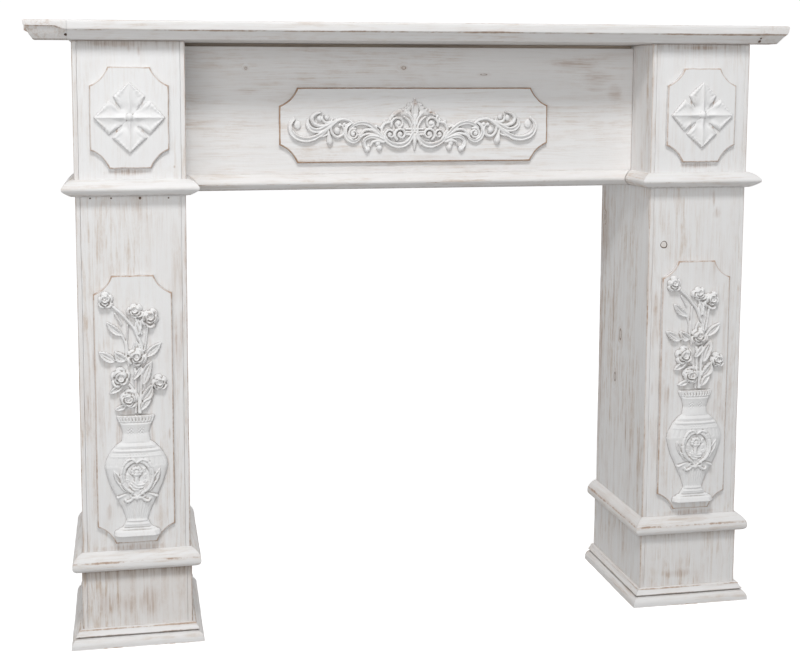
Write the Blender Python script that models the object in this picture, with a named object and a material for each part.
"""Wooden fireplace mantel: shelf, recessed frieze and two hollow legs, with applied mouldings
and applied ornaments.  Metres, Z up, the front faces -Y, the back stands against a wall.
Pieces are set out from a working point on the floor, midway between the legs, in the plane of
the shaft fronts; at the end everything moves so that the origin is under the middle of the whole."""
import bpy
import bmesh
import math
from mathutils import Vector

for _o in list(bpy.data.objects):
    bpy.data.objects.remove(_o, do_unlink=True)

GAP = 0.0003            # air left between pieces that touch

# ---- driving dimensions ---------------------------------------------------------------
LEG_X = 0.498           # leg centre line
SHAFT_HW = 0.090        # half width of a shaft
DEPTH = 0.220           # shaft front to back
SIDE_T = 0.008          # side boards
FRONT_T = 0.010         # front boards
BLOCK_PROUD = 0.001     # upper block stands this far outside the shaft
PLINTH_PROUD = 0.002    # plinth stands this far outside the shaft

Z_BASE = 0.030          # top of the base moulding
Z_TORUS0, Z_TORUS1 = 0.128, 0.162
Z_COLLAR0, Z_COLLAR1 = 0.7605, 0.789
Z_PLINTH_JOINT = 0.145  # plinth boards end, shaft boards begin
Z_COLLAR_JOINT = 0.775  # shaft boards end, block boards begin
Z_UNDER = 1.015         # underside of the shelf
Z_TOP = 1.046           # top of the shelf

SHELF_Y0 = -0.030       # front of the shelf
NOSING_D = 0.045        # depth of the nosing strip
NOSING_HX = 0.594       # half length of the nosing and shelf board
SHELF_X0, SHELF_X1 = -0.664, 0.649

FRIEZE_Y = 0.082        # face of the frieze board
FRIEZE_T = 0.012
Z_FRIEZE0, Z_FRIEZE1 = 0.761, 1.009

PANEL_T = 0.006
SCOOP_R = 0.030         # scooped corners of the leg panels
SCOOP_DEPTH = 0.005     # how far an arc is hollowed below its chord
BLOCK_PANEL = (0.064, 0.0825, 0.8895)      # half width, half height, centre height
SHAFT_PANEL = (0.0645, 0.2275, 0.4030)
FRIEZE_PANEL = (0.2425, 0.0655, 0.8735)
FRIEZE_SCOOP_R = 0.0315

# moulding sections: (distance out from the face, height), counter-clockwise from the lower back
COLLAR = [(0.0005, 0.7612), (0.006, 0.7622), (0.0115, 0.7650), (0.0170, 0.7682), (0.0200, 0.7708),
          (0.0212, 0.7735), (0.0208, 0.7762), (0.0180, 0.7800), (0.0145, 0.7832), (0.0105, 0.7860),
          (0.0060, 0.7882), (0.0015, 0.7890)]
TORUS = [(0.0005, 0.1285), (0.0070, 0.1295), (0.0115, 0.1315), (0.0150, 0.1345), (0.0168, 0.1385),
         (0.0170, 0.1430), (0.0160, 0.1475), (0.0138, 0.1515), (0.0105, 0.1555), (0.0060, 0.1590),
         (0.0015, 0.1612), (0.0002, 0.1618)]
BASE = [(0.0002, 0.0000), (0.0182, 0.0000), (0.0182, 0.0055), (0.0170, 0.0090), (0.0145, 0.0122),
        (0.0112, 0.0142), (0.0112, 0.0185), (0.0100, 0.0200), (0.0050, 0.0250), (0.0015, 0.0285),
        (0.0002, 0.0300)]
# section of the shelf edge: (distance in from the front, height)
NOSE = [(0.0165, 1.0150), (0.0150, 1.0160), (0.0118, 1.0205), (0.0078, 1.0252), (0.0030, 1.0296),
        (0.0008, 1.0308), (0.0000, 1.0335), (0.0000, 1.0420), (0.0010, 1.0448), (0.0030, 1.0460)]

PAINT = (0.86, 0.85, 0.83, 1.0)
BARE = (0.55, 0.40, 0.26, 1.0)


# ---- helpers --------------------------------------------------------------------------
def material(name, colour):
    m = bpy.data.materials.new(name)
    m.use_nodes = True
    b = m.node_tree.nodes["Principled BSDF"]
    b.inputs["Base Color"].default_value = colour
    b.inputs["Roughness"].default_value = 0.6
    return m


def add(name, verts, faces, colour=PAINT, smooth=False):
    me = bpy.data.meshes.new(name)
    me.from_pydata([tuple(v) for v in verts], [], [tuple(f) for f in faces])
    bm = bmesh.new()
    bm.from_mesh(me)
    bmesh.ops.recalc_face_normals(bm, faces=bm.faces)
    bm.to_mesh(me)
    bm.free()
    if smooth:
        me.polygons.foreach_set("use_smooth", [True] * len(me.polygons))
        me.set_sharp_from_angle(angle=math.radians(35))
    ob = bpy.data.objects.new(name, me)
    bpy.context.scene.collection.objects.link(ob)
    me.materials.append(material(name, colour))
    return ob


def box(name, x0, x1, y0, y1, z0, z1, colour=PAINT):
    v = [(x, y, z) for z in (z0, z1) for y in (y0, y1) for x in (x0, x1)]
    f = [(0, 2, 3, 1), (4, 5, 7, 6), (0, 1, 5, 4), (1, 3, 7, 5), (3, 2, 6, 7), (2, 0, 4, 6)]
    return add(name, v, f, colour)


def loft(name, rings, colour=PAINT, smooth=False):
    """Closed solid through rings of equal point count, flat caps at both ends."""
    n = len(rings[0])
    v = [p for r in rings for p in r]
    f = [tuple(range(n)), tuple(range((len(rings) - 1) * n, len(rings) * n))[::-1]]
    for k in range(len(rings) - 1):
        for i in range(n):
            j = (i + 1) % n
            f.append((k * n + i, (k + 1) * n + i, (k + 1) * n + j, k * n + j))
    return add(name, v, f, colour, smooth)


def section(profile, z_joint, back_low, back_high):
    """Moulding section with its back stepped to fit the two boards it is nailed over."""
    z0, z1 = profile[0][1], profile[-1][1]
    if back_low == back_high:
        return profile + [(back_low, z1), (back_low, z0)]
    pts = [(max(d, (back_low if z < z_joint else back_high) + 0.0002), z) for d, z in profile]
    return pts + [(back_high, z1), (back_high, z_joint), (back_low, z_joint), (back_low, z0)]


def front_moulding(name, sec, xl, xr, y_face):
    """Length along X; each end mitred outward at 45 degrees."""
    return loft(name, [[(xl - d, y_face - d, z) for d, z in sec],
                       [(xr + d, y_face - d, z) for d, z in sec]], smooth=True)


def side_moulding(name, sec, x_face, sgn, y_face, y_back):
    """Length along Y, on the side of a leg; front end mitred, back end square."""
    return loft(name, [[(x_face + sgn * d, y_face - d + 2 * GAP, z) for d, z in sec],
                       [(x_face + sgn * d, y_back, z) for d, z in sec]], smooth=True)


def scooped(hw, hh, r, inset, n=7):
    """Outline of a board whose corners, r long each way, are scooped out by shallow arcs."""
    a = r / math.sqrt(2) + SCOOP_DEPTH
    k = (r * r - a * a) / (2 * math.sqrt(2) * SCOOP_DEPTH)    # the arc's centre lies k outside the corner
    rr = a + k * math.sqrt(2) + inset
    t0 = math.asin((k + inset) / rr)
    pts = []
    for q, (sx, sz) in enumerate([(1, 1), (-1, 1), (-1, -1), (1, -1)]):
        # each corner's arc runs from one straight edge to the next
        start = (1.5, 2.0, 0.5, 1.0)[q] * math.pi
        for i in range(n):
            t = start - t0 - (math.pi / 2 - 2 * t0) * i / (n - 1)
            pts.append((sx * (hw + k) + rr * math.cos(t), sz * (hh + k) + rr * math.sin(t)))
    return pts


def panel(name, cx, y_face, dims, r, edge=0.0016):
    hw, hh, cz = dims
    outer = scooped(hw, hh, r, 0.0)
    inner = scooped(hw, hh, r, edge)
    y0, y1 = y_face - GAP, y_face - GAP - PANEL_T
    return loft(name, [[(cx + x, y0, cz + z) for x, z in outer],
                       [(cx + x, y1 + edge, cz + z) for x, z in outer],
                       [(cx + x, y1, cz + z) for x, z in inner]])


def relief(name, cx, cz, y_back, outline, levels, colour=PAINT):
    """Flat-backed ornament: the outline drawn in towards its middle at each level."""
    rings = [[(cx + x * s, y_back - h, cz + z * s) for x, z in outline] for s, h in levels]
    return loft(name, rings, colour)


def union(ob, others):
    for o in others:
        m = ob.modifiers.new("join", "BOOLEAN")
        m.operation, m.solver, m.object = "UNION", "EXACT", o
    dg = bpy.context.evaluated_depsgraph_get()
    me = bpy.data.meshes.new_from_object(ob.evaluated_get(dg))
    ob.modifiers.clear()
    ob.data = me
    me.name = ob.name
    while len(me.materials) > 1:
        me.materials.pop()
    me.polygons.foreach_set("material_index", [0] * len(me.polygons))
    bm = bmesh.new()
    bm.from_mesh(me)
    bmesh.ops.remove_doubles(bm, verts=bm.verts, dist=0.00002)
    bmesh.ops.dissolve_degenerate(bm, edges=bm.edges, dist=0.00002)
    bmesh.ops.triangulate(bm, faces=bm.faces)
    bmesh.ops.recalc_face_normals(bm, faces=bm.faces)
    bm.to_mesh(me)
    bm.free()
    for o in others:
        bpy.data.objects.remove(o, do_unlink=True)
    return ob


def dome(x, y, z, rx, ry, rz, seg=10, rings=4):
    """Closed half-ellipsoid standing out towards -Y from the plane y."""
    v, f = [(x, y - ry, z)], []
    for k in range(1, rings + 1):
        t = math.pi / 2 * k / rings
        for i in range(seg):
            a = 2 * math.pi * i / seg
            v.append((x + rx * math.sin(t) * math.cos(a), y - ry * math.cos(t),
                      z + rz * math.sin(t) * math.sin(a)))
    for i in range(seg):
        f.append((0, 1 + i, 1 + (i + 1) % seg))
    for k in range(rings - 1):
        for i in range(seg):
            a, b = 1 + k * seg + i, 1 + k * seg + (i + 1) % seg
            f.append((a, a + seg, b + seg, b))
    f.append(tuple(1 + (rings - 1) * seg + i for i in range(seg))[::-1])
    return add("tmp", v, f, smooth=True)


def slab(pts, y0, y1):
    """Plate between two depths with the given outline."""
    return loft("tmp", [[(x, y0, z) for x, z in pts], [(x, y1, z) for x, z in pts]])


def strip(points, widths, y0, y1):
    """Plate that follows a line, with a width at each of its points."""
    left, right = [], []
    for i, (x, z) in enumerate(points):
        ax, az = points[max(i - 1, 0)]
        bx, bz = points[min(i + 1, len(points) - 1)]
        t = Vector((bx - ax, bz - az)).normalized()
        w = widths[i] / 2
        left.append((x - t.y * w, z + t.x * w))
        right.append((x + t.y * w, z - t.x * w))
    return slab(left + right[::-1], y0, y1)


# ---- one leg --------------------------------------------------------------------------
def leg(side, cx, inner):
    """inner is +1 when the fire opening is on the +X side of this leg."""
    faces = {"inner": inner, "outer": -inner}

    def boards(level, proud, z0, z1):
        hw = SHAFT_HW + proud
        for key, s in faces.items():
            a, b = sorted((cx + s * hw, cx + s * (hw - SIDE_T)))
            box("%s_%s_%s_side_board" % (side, level, key), a, b, -proud, DEPTH, z0, z1)
        w = hw - SIDE_T - GAP
        box("%s_%s_front_board" % (side, level), cx - w, cx + w, -proud, -proud + FRONT_T, z0, z1)

    boards("plinth", PLINTH_PROUD, 0.0, Z_PLINTH_JOINT)
    boards("shaft", 0.0, Z_PLINTH_JOINT + GAP, Z_COLLAR_JOINT)
    boards("block", BLOCK_PROUD, Z_COLLAR_JOINT + GAP, Z_UNDER - GAP)

    base = section(BASE, 0.0, 0.0, 0.0)
    torus = section(TORUS, Z_PLINTH_JOINT, PLINTH_PROUD, 0.0)
    collar = section(COLLAR, Z_COLLAR_JOINT, 0.0, BLOCK_PROUD)
    for level, sec, off in (("base", base, PLINTH_PROUD), ("torus", torus, 0.0),
                            ("collar", collar, 0.0)):
        hw, yf = SHAFT_HW + off + GAP, -off - GAP
        front_moulding("%s_%s_front" % (side, level), sec, cx - hw, cx + hw, yf)
        for key, s in faces.items():
            name = "%s_%s_%s_return" % (side, level, key)
            if level == "collar" and key == "inner":
                # meets the frieze moulding in an inside mitre
                loft(name, [[(cx + s * (hw + d), yf - d + 2 * GAP, z) for d, z in sec],
                            [(cx + s * (hw + d), FRIEZE_Y - GAP - d - 2 * GAP, z)
                             for d, z in sec]], smooth=True)
            else:
                side_moulding(name, sec, cx + s * hw, s, yf, DEPTH)

    panel("%s_block_panel" % side, cx, -BLOCK_PROUD, BLOCK_PANEL, SCOOP_R)
    panel("%s_shaft_panel" % side, cx, 0.0, SHAFT_PANEL, SCOOP_R)

    # battens inside the hollow leg, behind the joints and under the shelf
    w = SHAFT_HW - SIDE_T - GAP
    yb = FRONT_T + GAP
    box("%s_plinth_batten" % side, cx - w, cx + w, yb, yb + 0.020, 0.110, 0.180, BARE)
    box("%s_collar_batten" % side, cx - w, cx + w, yb, yb + 0.020, 0.740, 0.810, BARE)
    box("%s_shelf_cleat" % side, cx - w, cx + w, yb, yb + 0.035, 0.980, Z_UNDER - GAP, BARE)

    # rosette: four pointed leaves and a centre bead
    tip, shoulder, notch = 0.055, (0.029, 0.025), 0.017
    out = []
    for k in range(4):
        a = math.pi / 2 * k
        c, s = math.cos(a), math.sin(a)
        for x, z in ((notch, -notch), (shoulder[0], -shoulder[1]), (tip, 0.0),
                     (shoulder[0], shoulder[1])):
            out.append((x * c - z * s, x * s + z * c))
    yr = -BLOCK_PROUD - GAP - PANEL_T - GAP
    ros = relief("%s_rosette" % side, cx, 0.8905, yr, out,
                 [(1.0, 0.0), (1.0, 0.004), (0.9, 0.0065), (0.45, 0.0100), (0.2, 0.0065)])
    union(ros, [dome(cx, yr - 0.004, 0.8905, 0.008, 0.009, 0.008, 12, 3)])

    # vase of roses
    yv = -GAP - PANEL_T - GAP
    prof = [(0.0228, 0.184), (0.0358, 0.1845), (0.0362, 0.1985), (0.0215, 0.207), (0.0215, 0.2155),
            (0.0165, 0.2180), (0.0215, 0.2300), (0.0335, 0.2640), (0.0440, 0.2960),
            (0.0490, 0.3160), (0.0465, 0.3300), (0.0400, 0.3420), (0.0230, 0.3560),
            (0.0220, 0.3690), (0.0250, 0.3830), (0.0300, 0.3885), (0.0300, 0.3975),
            (0.0200, 0.3990)]
    n = 12
    rings = []
    for hw, z in prof:
        depth = 0.006 + 0.30 * hw
        rings.append([(cx + hw * math.cos(math.pi * i / n), yv - depth * math.sin(math.pi * i / n),
                       z) for i in range(n + 1)])
    vase = loft("%s_vase_of_roses" % side, rings, smooth=True)
    bits = [strip([(cx, 0.393), (cx + 0.004, 0.43), (cx - 0.004, 0.47), (cx, 0.51),
                   (cx + 0.006, 0.55), (cx + 0.020, 0.572)],
                  [0.030, 0.050, 0.056, 0.044, 0.040, 0.016], yv, yv - 0.005),
            strip([(cx - 0.002, 0.54), (cx - 0.018, 0.563), (cx - 0.044, 0.592)],
                  [0.020, 0.014, 0.010], yv, yv - 0.0045),
            strip([(cx - 0.012, 0.435), (cx - 0.030, 0.425), (cx - 0.042, 0.412)],
                  [0.022, 0.014, 0.005], yv, yv - 0.0040),
            strip([(cx + 0.006, 0.500), (cx + 0.022, 0.513), (cx + 0.034, 0.524)],
                  [0.022, 0.016, 0.005], yv, yv - 0.0035)]
    for dx, z, r in ((-0.0440, 0.5925, 0.0125), (0.0035, 0.5722, 0.0125), (0.0285, 0.5595, 0.0140),
                     (0.0035, 0.4955, 0.0150), (-0.0210, 0.4610, 0.0165), (0.0420, 0.4500, 0.0135),
                     (-0.0110, 0.4215, 0.0140)):
        bits.append(dome(cx + dx, yv, z, r, 0.0135, r, 10, 3))
    bits.append(strip([(cx + 0.010, 0.425), (cx + 0.026, 0.440), (cx + 0.042, 0.450)],
                      [0.030, 0.016, 0.012], yv, yv - 0.0050))
    union(vase, bits)


leg("left", -LEG_X, 1)
leg("right", LEG_X, -1)


# ---- frieze ---------------------------------------------------------------------------
inner_x = LEG_X - SHAFT_HW - BLOCK_PROUD
fx = inner_x - GAP
box("frieze_board", -fx, fx, FRIEZE_Y, FRIEZE_Y + FRIEZE_T, Z_FRIEZE0, Z_FRIEZE1)
box("frieze_cleat", -fx, fx, FRIEZE_Y + FRIEZE_T + GAP, FRIEZE_Y + FRIEZE_T + 0.022,
    0.990, Z_UNDER - GAP, BARE)
panel("frieze_panel", 0.0, FRIEZE_Y, FRIEZE_PANEL, FRIEZE_SCOOP_R)

sec = section(COLLAR, 0.0, 0.0, 0.0)
mx = LEG_X - SHAFT_HW - GAP
yf = FRIEZE_Y - GAP
loft("frieze_moulding", [[(-(mx - d - BLOCK_PROUD - GAP), yf - d, z) for d, z in sec],
                         [(mx - d - BLOCK_PROUD - GAP, yf - d, z) for d, z in sec]], smooth=True)

# scroll and shell ornament: half outline, mirrored
half = [(0.000, 0.0430), (0.006, 0.0400), (0.010, 0.0310), (0.018, 0.0280), (0.026, 0.0300),
        (0.038, 0.0260), (0.047, 0.0170), (0.054, 0.0110), (0.064, 0.0070), (0.080, 0.0120),
        (0.098, 0.0185), (0.110, 0.0145), (0.119, 0.0060), (0.126, 0.0140), (0.136, 0.0190),
        (0.146, 0.0130), (0.152, 0.0210), (0.166, 0.0300), (0.186, 0.0300), (0.196, 0.0210),
        (0.204, 0.0240), (0.216, 0.0200), (0.2225, 0.0070), (0.214, -0.0100), (0.196, -0.0175),
        (0.174, -0.0150), (0.164, -0.0240), (0.156, -0.0300), (0.150, -0.0180), (0.140, -0.0130),
        (0.130, -0.0150), (0.112, -0.0240), (0.100, -0.0210), (0.092, -0.0300), (0.080, -0.0350),
        (0.068, -0.0300), (0.058, -0.0340), (0.040, -0.0330), (0.020, -0.0310), (0.008, -0.0310),
        (0.000, -0.0410)]
outline = half + [(-x, z) for x, z in reversed(half[1:-1])]
relief("frieze_scroll", -0.003, 0.8720, FRIEZE_Y - 2 * GAP - PANEL_T, outline,
       [(1.0, 0.0), (1.0, 0.0045), (0.97, 0.0065)])

# ---- shelf ----------------------------------------------------------------------------
ny = SHELF_Y0 + NOSING_D
nose = [(SHELF_Y0 + d, z) for d, z in NOSE] + [(ny, Z_TOP), (ny, Z_UNDER)]
loft("shelf_nosing", [[(-NOSING_HX, y, z) for y, z in nose],
                      [(NOSING_HX, y, z) for y, z in nose]], smooth=True)
box("shelf_board", -NOSING_HX, NOSING_HX, ny + GAP, DEPTH, Z_UNDER, Z_TOP)
for side, xo, s in (("left", SHELF_X0, 1), ("right", SHELF_X1, -1)):
    xi = -s * (NOSING_HX + GAP)
    # the shaped edge runs along the outer side and returns across the front
    front = [(xo + s * d, SHELF_Y0 + d, z) for d, z in NOSE]
    front_in = [(xi, SHELF_Y0 + d, z) for d, z in NOSE]
    rear = [(xo + s * d, DEPTH, z) for d, z in NOSE]
    m = len(NOSE)
    v = front_in + front + rear + [(xi, DEPTH, Z_TOP), (xi, DEPTH, Z_UNDER)]
    f = []
    for i in range(m - 1):
        f.append((i, i + 1, m + i + 1, m + i))
        f.append((m + i, m + i + 1, 2 * m + i + 1, 2 * m + i))
    top, bot = 3 * m, 3 * m + 1
    f.append((m - 1, top, 2 * m + m - 1, m + m - 1))
    f.append((0, m, 2 * m, bot))
    f.append(tuple(range(2 * m, 3 * m)) + (top, bot))
    f.append(tuple(range(m)) + (top, bot))
    add("shelf_%s_end_board" % side, v, f, smooth=True)

# origin under the middle of the whole
for ob in bpy.data.objects:
    ob.location = (-(SHELF_X0 + SHELF_X1) / 2, -(SHELF_Y0 + DEPTH) / 2, 0.0)
